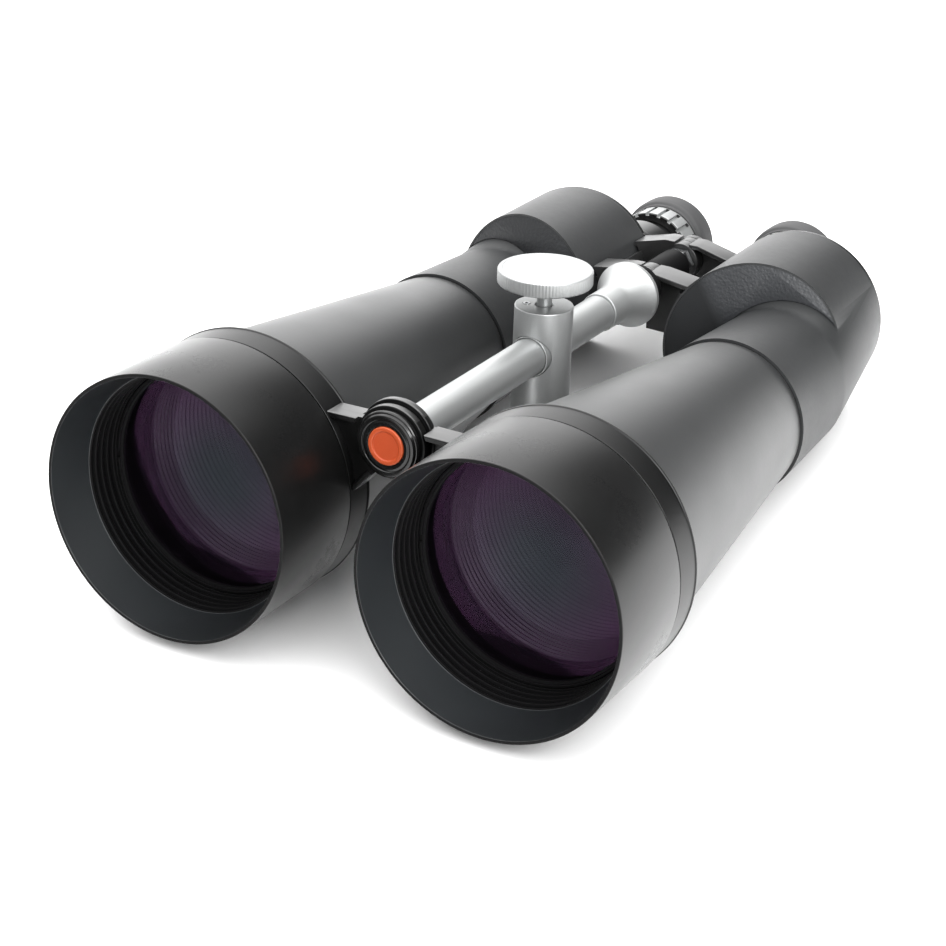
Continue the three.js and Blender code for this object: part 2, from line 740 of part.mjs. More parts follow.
const bandFoot = { y: band.to, z: -band.radius };
const drumFoot = { y: drum.rear, z: drum.z - drum.radius };
const restTilt = Math.atan2(drumFoot.z - bandFoot.z, drumFoot.y - bandFoot.y);
instrument.rotation.x = -restTilt;
instrument.updateMatrixWorld(true);
const extent = new THREE.Box3().setFromObject(instrument, true);
instrument.position.set(0, -(extent.min.y + extent.max.y) / 2, -extent.min.z);

const group = new THREE.Group();
group.add(instrument);
export default group;
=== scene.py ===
import json
import math

import bmesh
import bpy
from mathutils import Matrix, Vector


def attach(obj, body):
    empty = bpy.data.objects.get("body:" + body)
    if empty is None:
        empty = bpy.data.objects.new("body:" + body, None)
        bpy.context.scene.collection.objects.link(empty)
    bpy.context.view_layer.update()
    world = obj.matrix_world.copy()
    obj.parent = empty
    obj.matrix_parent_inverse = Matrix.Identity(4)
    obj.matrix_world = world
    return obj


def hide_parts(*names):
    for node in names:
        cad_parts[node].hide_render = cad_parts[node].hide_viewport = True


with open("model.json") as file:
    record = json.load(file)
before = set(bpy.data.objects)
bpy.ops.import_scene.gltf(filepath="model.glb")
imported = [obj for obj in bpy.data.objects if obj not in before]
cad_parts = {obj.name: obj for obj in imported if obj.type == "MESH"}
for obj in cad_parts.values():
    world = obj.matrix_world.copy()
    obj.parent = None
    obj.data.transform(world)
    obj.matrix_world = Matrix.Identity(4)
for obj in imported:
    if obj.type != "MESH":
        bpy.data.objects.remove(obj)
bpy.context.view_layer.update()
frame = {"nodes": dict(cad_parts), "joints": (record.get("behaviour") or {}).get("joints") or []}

# Looks for the giant astronomy binoculars. Every piece is drawn in millimetres in the optical
# frame of the CAD part: X across, Y along the optical axes from the hood rims (Y = 0) to the
# eyecups, Z up from the objective axes. OPTICAL turns that frame, in metres, into the row frame.

# ---- The optical frame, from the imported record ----
MM = 0.001
HINGE_Z = 29.9  # height of the hinge axis over the objective axes
FOLD_Y = 180  # where along the hinge axis the record puts the fold joint
fold = next(joint for joint in frame["joints"] if joint["name"] == "left_fold")
rearward = Vector(fold["axis"]).normalized()
across = Vector((1, 0, 0))
upward = across.cross(rearward)
zero = Vector(fold["pos_m"]) - rearward * FOLD_Y * MM - upward * HINGE_Z * MM
OPTICAL = Matrix.Translation(zero) @ Matrix((across, rearward, upward)).transposed().to_4x4()

# ---- Dimensions shared with the CAD part, mm ----
GAP = 0.3  # between pieces that only touch
OBJECTIVE = (76.8, 0)  # the axes of the right half, as X and Z
EYEPIECE = (36, 16)
DRUM = (62, 12)
HINGE = (0, HINGE_Z)
HOOD_RADIUS = 60
HOOD_STEP_Y = 20.7  # where the plain inside of the hood ends and the baffles begin
BAFFLE_RADIUS = 56  # the baffles and the seat of the lens cell lie within this
BAND_FRONT = 51.9  # the clamp band of the front bridge
BAND_REAR = 66.9
BAND_BORE = 56.2
BARREL_RADIUS = 55.9
SEAM_Y = 225.5  # where the tapered barrel meets the prism housing
SEAM_RADIUS = 37
TAIL_RADIUS = 38.3  # the housing's own taper, behind the seam
TAIL_END_RADIUS = 34.6
TAIL_END = 300
BLEND_Y = 283  # where that taper starts to run over into the drum
DRUM_RADIUS = 42
DRUM_REAR = 345.8
DRUM_WALL = 2.8
PLATE_THICKNESS = 2.5
FLAT_X = 22  # where the flat on the drum's inner underside crosses Z = 0
FLAT_SLOPE = -0.852
FOLD_ACROSS = (0.857, 0.514)  # the direction across the front plate's fold, away from the hinge
FOLD_AT = -6.7  # how far that way the fold lies from the drum's axis
FOLD_SOFTNESS = 7  # how wide the change into the painted shade along the fold is
GLASS_RADIUS = 52
GLASS_FRONT = 41.5
FIELD_RADIUS = 12.3  # the eyepiece lenses
PIN_BORE = 5.3  # holes for the hinge pin
POST_Y = 186.9
POST_RADIUS = 13.5
SET_SCREW_AT = (-7.4, -3)  # on top of the post, as X and Y from its axis
KNOB_RADIUS = 21.8
KNOB_FLUTES = 90
KNOB_FLUTE_DEPTH = 0.12

LARGE = 160  # steps round the objective end, barrels and drums
MEDIUM = 96  # steps round the eyepieces, rod and post
SMALL = 32  # steps round a screw

DRIFT_MM = 45  # the size of the slow unevenness in a finish
DRIFT_RANGE = (0.35, 0.65)  # the values between which its noise makes the whole change
CORNER_SHARE = 0.48  # a rounded corner takes at most this share of each of its sides
SMOOTH_BELOW = 32  # edges that turn by more degrees than this are shaded sharp
FULLY_WORN = 0.9  # a vertex whose edges turn by this in all, in radians, is worn the most


# ---- Mesh helpers ----

def rounded(profile, steps=4):
    """Rounds the corners of a closed [x, y] profile.

    A third number on a point is how far its rounding reaches along the sides.
    """
    out = []
    count = len(profile)
    for i, point in enumerate(profile):
        x, y = point[:2]
        reach = point[2] if len(point) > 2 else 0
        if reach <= 0:
            out.append((x, y))
            continue
        corner = Vector((x, y))
        before = Vector(profile[i - 1][:2]) - corner
        after = Vector(profile[(i + 1) % count][:2]) - corner
        span = min(reach, before.length * CORNER_SHARE, after.length * CORNER_SHARE)
        start = corner + before.normalized() * span
        end = corner + after.normalized() * span
        for k in range(steps + 1):
            t = k / steps
            spot = start * (1 - t) ** 2 + corner * 2 * t * (1 - t) + end * t ** 2
            out.append((spot.x, spot.y))
    return out


def lathe(profile, steps=LARGE, flutes=0, swing=None):
    """A closed solid of revolution about Y from a closed [radius, y] profile.

    flutes is how many shallow waves run round it, and swing(radius) how deep they are there.
    """
    bm = bmesh.new()
    rings = []
    for radius, y in profile:
        if radius < 1e-6:
            rings.append([bm.verts.new((0, y, 0))])
            continue
        ring = []
        for i in range(steps):
            angle = math.tau * i / steps
            depth = swing(radius) * (0.5 - 0.5 * math.cos(flutes * angle)) if flutes else 0
            reach = radius - depth
            ring.append(bm.verts.new((reach * math.cos(angle), y, reach * math.sin(angle))))
        rings.append(ring)
    pairs = list(zip(rings, rings[1:]))
    if len(rings[0]) > 1 or len(rings[-1]) > 1:
        pairs.append((rings[-1], rings[0]))
    for one, two in pairs:
        for i in range(steps):
            j = (i + 1) % steps
            corners = [one[i % len(one)], one[j % len(one)], two[j % len(two)], two[i % len(two)]]
            corners = list(dict.fromkeys(corners))
            if len(corners) > 2:
                bm.faces.new(corners)
    bmesh.ops.recalc_face_normals(bm, faces=bm.faces)
    return bm


def tube(radius, bore, start, end, edge):
    """A small tube about Y with rounded edges."""
    return lathe(rounded([
        (bore, start, edge), (radius, start, edge), (radius, end, edge), (bore, end, edge),
    ]), MEDIUM)


def rod_along(radius, start, end, steps=LARGE, edge=0.0):
    """A solid cylinder about Y."""
    return lathe(rounded([(0, start), (radius, start, edge), (radius, end, edge), (0, end)]), steps)


def loft(sections, steps=LARGE):
    """A closed solid through rings. A section is a function from the step's angle to a point."""
    bm = bmesh.new()
    rings = [[bm.verts.new(section(math.tau * i / steps)) for i in range(steps)] for section in sections]
    for one, two in zip(rings, rings[1:]):
        for i in range(steps):
            j = (i + 1) % steps
            bm.faces.new((one[i], one[j], two[j], two[i]))
    bm.faces.new(rings[0])
    bm.faces.new(rings[-1])
    bmesh.ops.recalc_face_normals(bm, faces=bm.faces)
    return bm


def closed_between(bm, front, back):
    """Closes the solid between two outlines that have the same number of points."""
    count = len(front)
    bm.faces.new(front)
    bm.faces.new(back)
    for i in range(count):
        j = (i + 1) % count
        bm.faces.new((front[i], front[j], back[j], back[i]))
    bmesh.ops.recalc_face_normals(bm, faces=bm.faces)
    return bm


def slab(outline, start, end, edge=0.0, steps=2):
    """An outline of [x, z] points made solid between two Y values, with its edges rounded."""
    bm = bmesh.new()
    front = [bm.verts.new((x, start, z)) for x, z in outline]
    back = [bm.verts.new((x, end, z)) for x, z in outline]
    closed_between(bm, front, back)
    if edge:
        round_edges(bm, edge, steps)
    return bm


def bevelled(bm, edges, reach, steps, clamp=False):
    bmesh.ops.bevel(
        bm, geom=edges, offset=reach, offset_type="OFFSET", segments=steps, profile=0.5,
        affect="EDGES", clamp_overlap=clamp,
    )
    return bm


def round_edges(bm, reach, steps=2, sharper=25):
    """Rounds every edge whose faces turn by more than an angle in degrees."""
    limit = math.radians(sharper)
    edges = [e for e in bm.edges if len(e.link_faces) == 2 and e.calc_face_angle(0) > limit]
    return bevelled(bm, edges, reach, steps, clamp=True)


def arc(centre, radius, start, end, steps):
    """Points on an arc in the XZ plane, in degrees from +X towards +Z."""
    out = []
    for i in range(steps + 1):
        angle = math.radians(start + (end - start) * i / steps)
        out.append((centre[0] + radius * math.cos(angle), centre[1] + radius * math.sin(angle)))
    return out


def moved(bm, x=0.0, y=0.0, z=0.0):
    bmesh.ops.translate(bm, vec=(x, y, z), verts=bm.verts)
    return bm


def on_axis(bm, axis):
    """Moves a piece drawn about the Y axis onto an optical axis at [x, z]."""
    return moved(bm, axis[0], 0, axis[1])


def stand(bm):
    """Turns a piece drawn about Y until it stands along Z."""
    bmesh.ops.rotate(bm, verts=bm.verts, cent=(0, 0, 0), matrix=Matrix.Rotation(math.pi / 2, 3, "X"))
    return bm


def combine(first, operation, *others):
    """Adds the other solids to the first, or cuts them from it. Uses up all of them."""
    scene = bpy.context.scene
    meshes = []
    objects = []
    for i, bm in enumerate((first, *others)):
        mesh = bpy.data.meshes.new(f"work{i}")
        bm.to_mesh(mesh)
        bm.free()
        work = bpy.data.objects.new(f"work{i}", mesh)
        scene.collection.objects.link(work)
        meshes.append(mesh)
        objects.append(work)
    for tool in objects[1:]:
        step = objects[0].modifiers.new("step", "BOOLEAN")
        step.object = tool
        step.operation = operation
        step.solver = "MANIFOLD"
    evaluated = objects[0].evaluated_get(bpy.context.evaluated_depsgraph_get())
    out = bmesh.new()
    out.from_mesh(evaluated.to_mesh())
    evaluated.to_mesh_clear()
    for work in objects:
        bpy.data.objects.remove(work)
    for mesh in meshes:
        bpy.data.meshes.remove(mesh)
    return out


def joined(first, *others):
    return combine(first, "UNION", *others)


def cut(first, *tools):
    return combine(first, "DIFFERENCE", *tools)


def common(first, other):
    return combine(first, "INTERSECT", other)


def mark_edges(mesh):
    """Stores how far each vertex stands out from its neighbours, for wear along edges."""
    bm = bmesh.new()
    bm.from_mesh(mesh)
    bm.normal_update()
    bulge = []
    for vertex in bm.verts:
        turns = [e.calc_face_angle_signed(0) for e in vertex.link_edges if len(e.link_faces) == 2]
        bulge.append(max(0.0, min(1.0, sum(turns) / FULLY_WORN)))
    bm.free()
    attribute = mesh.attributes.new("edge", "FLOAT", "POINT")
    attribute.data.foreach_set("value", bulge)


def place(name, bm, material, body, axis=(0, 0), upright=False, finishes_and_painted_light=()):
    """Makes the piece's object, with its origin on its own axis, which its materials follow.

    The last argument gives more materials, some of them a painted shade or highlight, each with a test
    on a face's place and facing for the faces that take it.
    """
    if upright:
        home = Vector((0, POST_Y, HINGE_Z))
        turn = Matrix.Rotation(math.pi / 2, 4, "X")
    else:
        home = Vector((axis[0], 0, axis[1]))
        turn = Matrix.Identity(4)
    local = Matrix.Translation(home) @ turn
    bm.transform(local.inverted())
    bm.transform(Matrix.Scale(MM, 4))
    bmesh.ops.remove_doubles(bm, verts=bm.verts, dist=1e-7)
    bmesh.ops.dissolve_degenerate(bm, dist=1e-7, edges=bm.edges)
    mesh = bpy.data.meshes.new(name)
    bm.to_mesh(mesh)
    bm.free()
    mesh.polygons.foreach_set("use_smooth", [True] * len(mesh.polygons))
    mesh.set_sharp_from_angle(angle=math.radians(SMOOTH_BELOW))
    mark_edges(mesh)
    mesh.materials.append(material)
    for slot, (other, test) in enumerate(finishes_and_painted_light, 1):
        mesh.materials.append(other)
        for face in mesh.polygons:
            if test(face.center / MM, face.normal):
                face.material_index = slot
    piece = bpy.data.objects.new(name, mesh)
    bpy.context.scene.collection.objects.link(piece)
    piece.matrix_world = OPTICAL @ Matrix.Translation(home * MM) @ turn
    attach(piece, body)
    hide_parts(name)
    piece.name = name + "_fine"


# ---- Material helpers ----

class Paint:
    """A Principled material under construction."""

    def __init__(self, name, **sockets):
        self.material = bpy.data.materials.new(name)
        self.material.use_nodes = True
        self.tree = self.material.node_tree
        self.shader = self.tree.nodes["Principled BSDF"]
        for key, value in sockets.items():
            socket = self.shader.inputs[key.replace("_", " ")]
            socket.default_value = (*value, 1) if hasattr(value, "__len__") else value
        self.place = self.add("ShaderNodeTexCoord").outputs["Object"]

    def add(self, kind, settings=None, **inputs):
        node = self.tree.nodes.new(kind)
        for key, value in (settings or {}).items():
            setattr(node, key, value)
        for key, value in inputs.items():
            self.feed(node.inputs[key.replace("_", " ")], value)
        return node

    def feed(self, socket, value):
        if hasattr(value, "links"):
            self.tree.links.new(value, socket)
        elif hasattr(value, "__len__") and len(value) == 3 and socket.type == "RGBA":
            socket.default_value = (*value, 1)
        else:
            socket.default_value = value

    def maths(self, operation, one, two=0.0):
        node = self.tree.nodes.new("ShaderNodeMath")
        node.operation = operation
        self.feed(node.inputs[0], one)
        self.feed(node.inputs[1], two)
        return node.outputs[0]

    def noise(self, size_mm, detail, rough=0.55, place=None):
        scale = 1 / (size_mm * MM)
        where = place or self.place
        node = self.add("ShaderNodeTexNoise", Vector=where, Scale=scale, Detail=detail, Roughness=rough)
        return node.outputs["Fac"]

    def cells(self, size_mm):
        scale = 1 / (size_mm * MM)
        node = self.add("ShaderNodeTexVoronoi", {"feature": "SMOOTH_F1"}, Vector=self.place, Scale=scale)
        return node.outputs["Distance"]

    def between(self, value, low, high, start=0.0, end=1.0):
        node = self.add("ShaderNodeMapRange", From_Min=start, From_Max=end, To_Min=low, To_Max=high)
        self.feed(node.inputs["Value"], value)
        return node.outputs["Result"]

    def blend(self, factor, one, two):
        node = self.tree.nodes.new("ShaderNodeMix")
        node.data_type = "RGBA"
        self.feed(node.inputs["Factor"], factor)
        self.feed(node.inputs[6], one)
        self.feed(node.inputs[7], two)
        return node.outputs[2]

    def edge(self):
        return self.add("ShaderNodeAttribute", {"attribute_name": "edge"}).outputs["Fac"]

    def spot(self):
        """The place on the piece, as its X, Y and Z."""
        return self.add("ShaderNodeSeparateXYZ", Vector=self.place).outputs

    def distance(self, x, z):
        """How far a place is from the piece's own axis."""
        squares = self.maths("ADD", self.maths("MULTIPLY", x, x), self.maths("MULTIPLY", z, z))
        return self.maths("SQRT", squares)

    def turned(self):
        """Coordinates that follow a lathe: across the radius and along the axis, hardly round it."""
        x, y, z = self.spot()
        round_share = 0.002
        slow = self.maths("MULTIPLY", self.maths("ARCTAN2", z, x), round_share)
        joint = self.add("ShaderNodeCombineXYZ", X=self.distance(x, z), Y=y, Z=slow)
        return joint.outputs[0]

    def bump(self, *layers):
        """Bump from (height, distance in mm, strength) layers."""
        normal = None
        for height, distance, strength in layers:
            node = self.add("ShaderNodeBump", Strength=strength, Distance=distance * MM, Height=height)
            if normal:
                self.feed(node.inputs["Normal"], normal)
            normal = node.outputs["Normal"]
        self.feed(self.shader.inputs["Normal"], normal)

    def set(self, socket, value):
        self.feed(self.shader.inputs[socket], value)


def paint_coat(
    name, colour, worn, rough, grain_mm, depth_mm, strength, cells_mm=0.0,
    specular=0.5, coat=0.0, coat_ior=1.5,
):
    """A painted, anodised or moulded surface with a fine grain, thinner and shinier along its edges."""
    paint = Paint(
        name, Specular_IOR_Level=specular, Coat_Weight=coat, Coat_Roughness=rough, Coat_IOR=coat_ior,
    )
    drift = paint.noise(DRIFT_MM, 2)
    fine = paint.noise(grain_mm, 4)
    edge = paint.maths("MULTIPLY", paint.edge(), paint.between(paint.noise(3.5, 3), 0.35, 1.0))
    darker = tuple(c * 0.86 for c in colour)
    shade = paint.blend(paint.between(drift, 0, 1, *DRIFT_RANGE), darker, colour)
    paint.set("Base Color", paint.blend(edge, shade, worn))
    smear = paint.between(drift, rough - 0.04, rough + 0.04, 0.3, 0.7)
    speck = paint.maths("ADD", smear, paint.between(fine, -0.03, 0.03))
    paint.set("Roughness", paint.maths("SUBTRACT", speck, paint.maths("MULTIPLY", edge, 0.12)))
    layers = [(fine, depth_mm, strength)]
    if cells_mm:
        layers.insert(0, (paint.cells(cells_mm), depth_mm * 2, strength))
    paint.bump(*layers)
    return paint.material


def plate_paint(name, sign, shade, coat):
    """Stippled grey that runs over into a painted shade, smooth and black, across the fold on the side of
    the hinge.
    """
    # painted shade: past the fold, the hinge side of the plate lies in shadow and is painted smooth black
    painted_shade_black = (0.006, 0.0064, 0.0066)
    worn = (0.06, 0.062, 0.065)
    paint = Paint(name, Coat_Roughness=0.4)
    x, _, z = paint.spot()
    outward = paint.maths("MULTIPLY", x, sign * FOLD_ACROSS[0])
    beyond = paint.maths("ADD", outward, paint.maths("MULTIPLY", z, FOLD_ACROSS[1]))
    half = FOLD_SOFTNESS / 2
    # share runs from the stippled grey into the painted shade across the fold
    share = paint.between(beyond, 0, 1, (FOLD_AT - half) * MM, (FOLD_AT + half) * MM)
    drift = paint.between(paint.noise(DRIFT_MM, 2), 0, 1, *DRIFT_RANGE)
    grey = paint.blend(drift, tuple(c * 0.82 for c in shade), shade)
    base = paint.blend(share, painted_shade_black, grey)
    paint.set("Base Color", paint.blend(paint.maths("MULTIPLY", paint.edge(), 0.5), base, worn))
    paint.set("Roughness", paint.between(share, 0.55, 0.4))
    paint.set("Specular IOR Level", paint.between(share, 0.2, 0.5))
    paint.set("Coat Weight", paint.between(share, 0, coat))
    cells = paint.maths("MULTIPLY", paint.cells(1.3), share)
    fine = paint.maths("MULTIPLY", paint.noise(0.5, 4), paint.between(share, 0.25, 1))
    paint.bump((cells, 0.2, 1.0), (fine, 0.1, 1.0))
    return paint.material


def turned_metal(name, colour, rough, line_mm, strength, metallic=1.0):
    """Metal with the fine lines of a lathe, and a slight unevenness."""
    paint = Paint(name, Metallic=metallic)
    lines = paint.noise(line_mm, 2, 0.7, paint.turned())
    stain = paint.between(paint.noise(18, 2), 0, 0.25, 0.35, 0.7)
    shade = paint.blend(paint.between(lines, 0, 1, 0.3, 0.7), tuple(c * 0.9 for c in colour), colour)
    paint.set("Base Color", paint.blend(stain, shade, tuple(c * 0.82 for c in colour)))
    band = paint.between(lines, rough - 0.05, rough + 0.07, 0.3, 0.7)
    paint.set("Roughness", paint.maths("SUBTRACT", band, paint.maths("MULTIPLY", paint.edge(), 0.08)))
    paint.bump((lines, 0.02, strength), (paint.noise(0.25, 2), 0.006, strength * 0.6))
    return paint.material


def glass(name, tint, film_centre, film_edge, reach_mm, mirror_share=0.04):
    """Coated glass: it lets light straight through, and mirrors in the colour of its coating."""
    roughness = 0.03
    slant_power = 5
    paint = Paint(name)
    nodes = paint.tree.nodes
    nodes.remove(paint.shader)
    x, _, z = paint.spot()
    out = paint.between(paint.distance(x, z), 0, 1, reach_mm * 0.25 * MM, reach_mm * MM)
    cloud = paint.between(paint.noise(30, 2), -0.12, 0.12)
    film = paint.blend(paint.maths("ADD", out, cloud), film_centre, film_edge)
    clear = paint.add("ShaderNodeBsdfTransparent", Color=tint)
    mirror = paint.add("ShaderNodeBsdfGlossy", Color=film, Roughness=roughness)
    slant = paint.add("ShaderNodeLayerWeight", Blend=0.5).outputs["Facing"]
    weight = paint.between(paint.maths("POWER", slant, slant_power), mirror_share, 1)
    mix = paint.add("ShaderNodeMixShader")
    paint.feed(mix.inputs[0], weight)
    paint.feed(mix.inputs[1], clear.outputs[0])
    paint.feed(mix.inputs[2], mirror.outputs[0])
    paint.feed(nodes["Material Output"].inputs["Surface"], mix.outputs[0])
    return paint.material


satin_black = paint_coat(
    "satin_black", (0.0055, 0.0056, 0.0057), (0.02, 0.02, 0.02), 0.34, 0.35, 0.006, 0.35,
    specular=0.2, coat=1.0, coat_ior=1.3,
)
hood_inside = paint_coat(
    "hood_inside", (0.02, 0.0225, 0.0245), (0.04, 0.04, 0.04), 0.4, 0.4, 0.008, 0.4, coat=0.5,
)
cast_black = paint_coat(
    "cast_black", (0.006, 0.0061, 0.0062), (0.03, 0.03, 0.03), 0.32, 0.6, 0.012, 0.5, coat=0.7,
)
gloss_black = paint_coat(
    "gloss_black", (0.004, 0.004, 0.0041), (0.02, 0.02, 0.02), 0.2, 0.6, 0.006, 0.3, coat=0.4,
)
# bridge_black is the rear bridge's own finish; on the front bridge's upward faces it is also a painted
# highlight
bridge_black = paint_coat(
    "bridge_black", (0.011, 0.0112, 0.0114), (0.03, 0.03, 0.03), 0.38, 0.6, 0.012, 0.5,
    specular=0.7, coat=1.0, coat_ior=1.6,
)
baffle_black = paint_coat(
    "baffle_black", (0.01, 0.0098, 0.0105), (0.012, 0.012, 0.012), 0.55, 0.5, 0.004, 0.15, specular=0.12,
)
grained_black = paint_coat(
    "grained_black", (0.019, 0.0202, 0.0208), (0.035, 0.036, 0.037), 0.46, 0.35, 0.02, 0.55, 0.9, coat=0.9,
)
housing_black = paint_coat(
    "housing_black", (0.025, 0.0265, 0.0273), (0.04, 0.041, 0.042), 0.5, 0.35, 0.02, 0.55, 0.9, coat=0.35,
)
ribbed_black = paint_coat(
    "ribbed_black", (0.014, 0.0138, 0.0145), (0.02, 0.02, 0.02), 0.42, 0.5, 0.004, 0.15,
)
stippled_grey = {
    # painted shade: the left plate gets a darker grey and less coat than the right, because it receives less
    # light
    "left": plate_paint("stippled_left_painted_shade", -1, (0.011, 0.0118, 0.0135), 0.1),
    "right": plate_paint("stippled_right", 1, (0.028, 0.03, 0.0343), 0.35),
}
black_rubber = paint_coat(
    "black_rubber", (0.085, 0.085, 0.087), (0.09, 0.09, 0.09), 0.6, 0.3, 0.015, 0.5, specular=0.4,
)
satin_silver = turned_metal("satin_silver", (0.53, 0.54, 0.54), 0.46, 0.12, 0.25, 0.72)
spring_steel = turned_metal("spring_steel", (0.62, 0.63, 0.64), 0.28, 0.18, 0.3)
brass = turned_metal("brass", (0.69, 0.5, 0.22), 0.32, 0.18, 0.3)
orange_plastic = paint_coat(
    "orange_plastic", (0.55, 0.095, 0.03), (0.6, 0.16, 0.07), 0.36, 0.3, 0.006, 0.3,
)
coated_glass = glass("coated_glass", (0.94, 0.9, 0.95), (0.4, 0.5, 0.55), (0.8, 0.35, 0.8), 50, 0.02)
inner_glass = glass("inner_glass", (0.95, 0.95, 0.95), (0.5, 0.7, 0.6), (0.5, 0.7, 0.6), 50, 0.004)
prism_glass = glass("prism_glass", (0.85, 0.9, 0.9), (0.9, 0.9, 0.9), (0.9, 0.9, 0.9), 20)


# ---- The pieces. Profiles are [radius, Y, rounding], outlines [X, Z], in millimetres ----

# ---- Objective end ----

def hood():
    inside, lip, cell_room = 58.4, 57.6, 53.9
    groove, crest = 54.4, 52.8
    profile = rounded([
        (inside, 0, 0.4), (HOOD_RADIUS, 0, 0.55), (HOOD_RADIUS, 50.5, 0.3), (lip, 50.5), (lip, 51.5),
        (cell_room, 51.5), (cell_room, 36.7),
    ])
    baffles = 4
    pitch = 4.0
    for i in range(baffles):
        rear = 36.6 - i * pitch
        profile += rounded([
            (groove, rear + 0.1), (crest, rear, 0.2), (crest, rear - 1.1, 0.3), (groove, rear - 1.3),
            (groove + 0.2, rear - 2),
        ], 3)[1:-1]
    profile += rounded([
        (54.6, 21.9), (53.4, 21.5), (53.4, 20.8, 0.2), (54.3, 20.6, 0.25), (inside, 0),
    ])[1:-1]
    return lathe(profile)


def lens_face(start, sag, steps=20):
    """Points of a spherical face from the middle out to the edge of the glass."""
    out = []
    for i in range(steps + 1):
        radius = GLASS_RADIUS * i / steps
        out.append((radius, start + sag * (1 - (radius / GLASS_RADIUS) ** 2)))
    return out


CROWN_THICKNESS = 3
ELEMENT_GAP = 0.4
CEMENTED_SAG = 7  # the curve of the two faces that meet
LENS_STEPS = 128


def crown():
    front = lens_face(GLASS_FRONT, -5.4)
    rear = lens_face(GLASS_FRONT + CROWN_THICKNESS, CEMENTED_SAG)
    return lathe(front + rear[::-1], LENS_STEPS)


def flint():
    front = lens_face(GLASS_FRONT + CROWN_THICKNESS + ELEMENT_GAP, CEMENTED_SAG)
    back_y = 57
    return lathe(front + [(GLASS_RADIUS, back_y), (0, back_y)], LENS_STEPS)


def retaining_ring():
    """The threaded ring in front of the glass, with two slots for its key."""
    ring = lathe(rounded([
        (49.7, 40.5, 0.15), (49.7, 38.7, 0.25), (50.7, 38.5, 0.2), (50.9, 37.4, 0.2), (52, 37.4, 0.2),
        (52, 40.5, 0.1),
    ]))
    half = 1.6
    slots = []
    for sign in (-1, 1):
        inner, outer = sign * 50.6, sign * 53
        slots.append(slab([(inner, -half), (outer, -half), (outer, half), (inner, half)], 36.5, 38.4))
    return cut(ring, *slots)


def lens_cell():
    return lathe(rounded([
        (52.3, 37, 0.2), (53.6, 37, 0.3), (53.6, 60, 0.3), (50, 60, 0.3), (50, 57.3, 0.2), (52.3, 57.3),
    ]))


def front_bridge(side):
    """The band round the barrel with its ribbed arm. The left knuckle lies in front of the right one."""
    own, radius = ((55, 59.75), 16.5) if side == "left" else ((60.05, 64.5), 17.8)
    arm_end = arc(OBJECTIVE, 57.8, 139.5, 176, 10)
    shoulder = arm_end[0]
    top = HINGE_Z + 8
    flange = 2.6
    foot = [(6, HINGE_Z - 13.5), (17, HINGE_Z - 25.5)]
    top_flange = [(8, top), shoulder, (shoulder[0] + 2, shoulder[1] - flange), (8, top - flange)]
    foot_flange = [foot[0], (8.4, HINGE_Z - 12.6), (19.4, HINGE_Z - 24.4), foot[1]]
    web = slab([(8, top), *arm_end, foot[1], foot[0]], own[0] + 0.5, own[1] - 0.5)
    flanges = [slab(outline, 53.5, 65.5, 0.45, 3) for outline in (top_flange, foot_flange)]
    knuckle_room = on_axis(rod_along(18.2, 40, 80), HINGE)
    arms = cut(joined(*flanges), knuckle_room)
    clamp = on_axis(lathe(rounded([
        (BAND_BORE, BAND_FRONT, 0.2), (59.5, BAND_FRONT, 0.4), (59.5, 65.2, 0.3), (59.95, 65.6, 0.3),
        (59.95, 66.5, 0.3), (59.3, BAND_REAR, 0.3), (BAND_BORE, BAND_REAR, 0.2),
    ])), OBJECTIVE)
    front, rear = own
    knuckle = on_axis(lathe(rounded([
        (0, front), (radius - 0.3, front, 0.5), (radius, front + 0.6, 0.4), (radius, rear - 1.6, 0.3),
        (radius - 0.8, rear - 1.2, 0.2), (radius - 0.8, rear, 0.2), (0, rear),
    ]), MEDIUM), HINGE)
    casting = joined(arms, web, clamp, knuckle)
    barrel_room = on_axis(rod_along(BAND_BORE, 40, 80), OBJECTIVE)
    rod_bore = on_axis(rod_along(6, 40, 80, MEDIUM), HINGE)
    return cut(casting, barrel_room, rod_bore)


def objective_tube():
    """The tapered barrel, finely ribbed inside, with a spigot that goes into the prism housing."""
    wall, spigot_length = 2, 8
    spigot = TAIL_RADIUS - DRUM_WALL - GAP
    outer = rounded([
        (BARREL_RADIUS - wall, 52.2), (BARREL_RADIUS, 52.2, 0.3), (BARREL_RADIUS, BAND_REAR, 0.6),
        (SEAM_RADIUS, SEAM_Y, 0.7), (spigot, SEAM_Y, 0.1), (spigot, SEAM_Y + spigot_length, 0.2),
        (spigot - wall, SEAM_Y + spigot_length, 0.2), (spigot - wall, SEAM_Y - 6),
    ])
    inner = []
    widest, shallow, deep = 51.6, 0.2, 1.1
    pitch = 2.7
    y = SEAM_Y - 7
    while y > 62:
        share = max(0, (y - BAND_REAR) / (SEAM_Y - BAND_REAR))
        bore = min(BARREL_RADIUS + (SEAM_RADIUS - BARREL_RADIUS) * share - wall, widest)
        inner.append((bore - shallow, y))
        inner.append((bore - deep, y - pitch * 0.25))
        inner.append((bore - shallow, y - pitch * 0.5))
        y -= pitch
    return lathe(outer + inner)


# ---- Prism housing ----

# The folded front of a drum: each face goes through a point, and leans across and upwards.
PLATE_FACES = (
    {"at": (65, 284, 15), "across": 0.25, "up": 0.15},
    {"at": (48, 280.8, 22.3), "across": 0.17, "up": 0.102},
)


def ahead_of_plate(distance):
    """Blocks that together fill everything in front of the folded face, or of one a distance behind it."""
    low, high = (-60, -90), (190, 130)
    blocks = []
    for face in PLATE_FACES:
        x0, y0, z0 = face["at"]
        bm = bmesh.new()
        near = []
        far = []
        for x, z in (low, (high[0], low[1]), high, (low[0], high[1])):
            y = y0 + face["across"] * (x - x0) + face["up"] * (z - z0) + distance
            near.append(bm.verts.new((x, 150, z)))
            far.append(bm.verts.new((x, y, z)))
        blocks.append(closed_between(bm, near, far))
    return blocks


